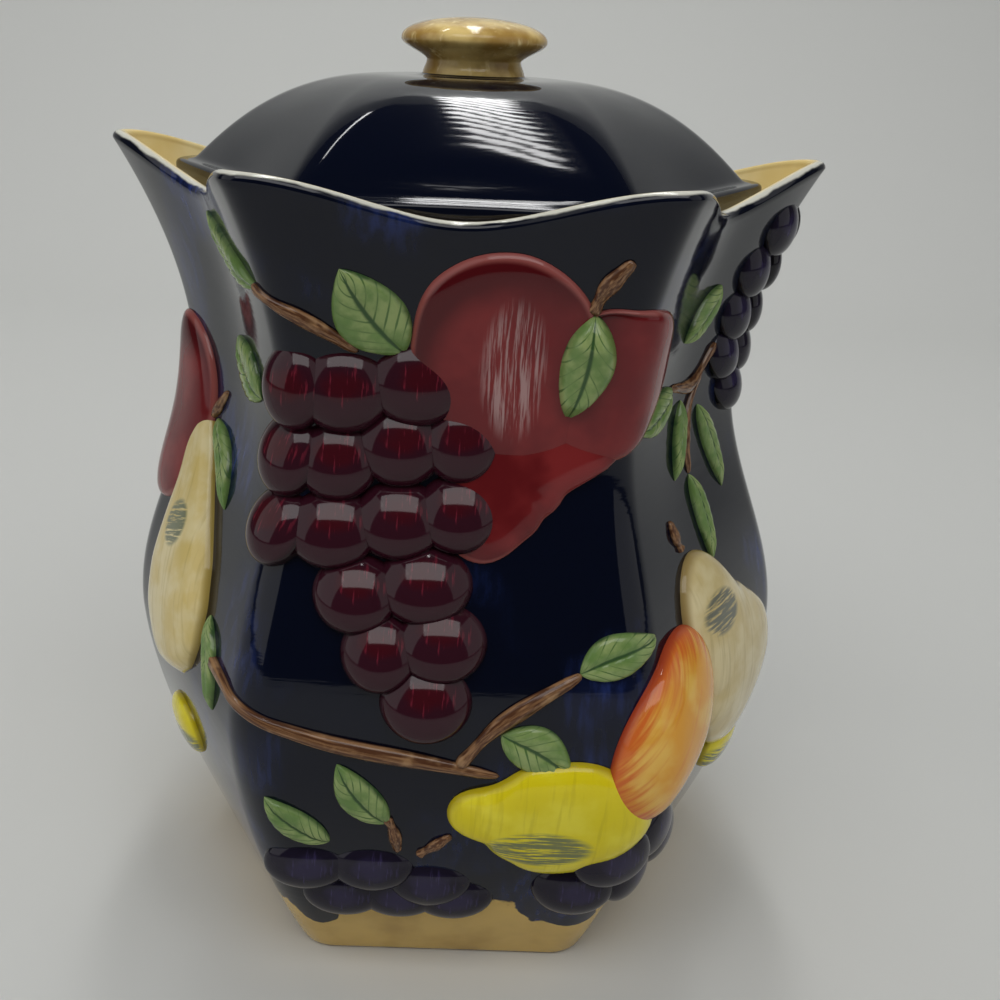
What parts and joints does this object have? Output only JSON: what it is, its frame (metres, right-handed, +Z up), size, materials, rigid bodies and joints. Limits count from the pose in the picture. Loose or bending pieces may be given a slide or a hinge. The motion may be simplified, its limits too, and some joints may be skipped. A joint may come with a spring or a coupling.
{
  "type": "biscuit jar",
  "caption": "Hexagonal glazed stoneware biscuit jar with a scalloped flared rim, domed lift-off lid with round knob, and raised fruit on its walls.",
  "frame": {"origin": "middle of the underside of the foot", "axes": "+Z up through the knob, -Y out of the front panel, +X to the right of the front panel"},
  "size_m": [0.1986, 0.1886, 0.254],
  "materials": {
    "navy_glaze": "gloss glaze",
    "straw_glaze": "gloss glaze",
    "clear_seal": "soft translucent",
    "apple_red": "gloss glaze",
    "grape_claret": "gloss glaze",
    "plum_purple": "gloss glaze",
    "leaf_green": "gloss glaze",
    "twig_brown": "gloss glaze",
    "quince_yellow": "gloss glaze",
    "apricot_orange": "gloss glaze",
    "pear_cream": "gloss glaze"
  },
  "bodies": {
    "jar": {"jar_body": "navy_glaze", "front_side_apple": "apple_red", "front_sloe_grapes": "plum_purple", "front_vine_leaf": "leaf_green", "front_apple_leaf": "leaf_green", "front_apple_stalk": "twig_brown", "front_claret_grapes": "grape_claret", "front_apple_large": "apple_red", "front_apple_small": "apple_red", "front_apple_low": "apple_red", "front_branch_leaves": "leaf_green", "front_branch": "twig_brown", "front_apricot": "apricot_orange", "front_quince": "quince_yellow", "front_plum_leaves": "leaf_green", "front_corner_plums": "plum_purple", "front_foot_plums": "plum_purple", "front_plum_twigs": "twig_brown", "front_shoot_leaf": "leaf_green", "front_shoot_twig": "twig_brown", "front_pear_leaves": "leaf_green", "front_pear_stalk": "twig_brown", "front_yellow_pear": "pear_cream", "front_side_lemon": "quince_yellow", "front_willow_leaves": "leaf_green", "front_willow_twigs": "twig_brown", "front_russet_pear": "pear_cream", "front_russet_stalk": "twig_brown", "front_corner_lemon": "quince_yellow", "back_vine_leaf": "leaf_green", "back_apple_leaf": "leaf_green", "back_apple_stalk": "twig_brown", "back_claret_grapes": "grape_claret", "back_apple_large": "apple_red", "back_apple_small": "apple_red", "back_apple_low": "apple_red", "back_branch_leaves": "leaf_green", "back_branch": "twig_brown", "back_apricot": "apricot_orange", "back_quince": "quince_yellow", "back_plum_leaves": "leaf_green", "back_corner_plums": "plum_purple", "back_foot_plums": "plum_purple", "back_plum_twigs": "twig_brown", "back_shoot_leaf": "leaf_green", "back_shoot_twig": "twig_brown", "back_pear_leaves": "leaf_green", "back_pear_stalk": "twig_brown", "back_yellow_pear": "pear_cream", "back_side_lemon": "quince_yellow", "back_willow_leaves": "leaf_green", "back_willow_twigs": "twig_brown", "back_russet_pear": "pear_cream", "back_russet_stalk": "twig_brown", "back_corner_lemon": "quince_yellow"},
    "lid": {"lid_shell": "navy_glaze", "lid_seal_ring": "clear_seal", "lid_knob": "straw_glaze"}
  },
  "joints": [
    {"name": "lid_lift", "type": "slide", "parent": "jar", "child": "lid", "axis": [0, 0, 1], "range_m": [0, 0.12]}
  ]
}
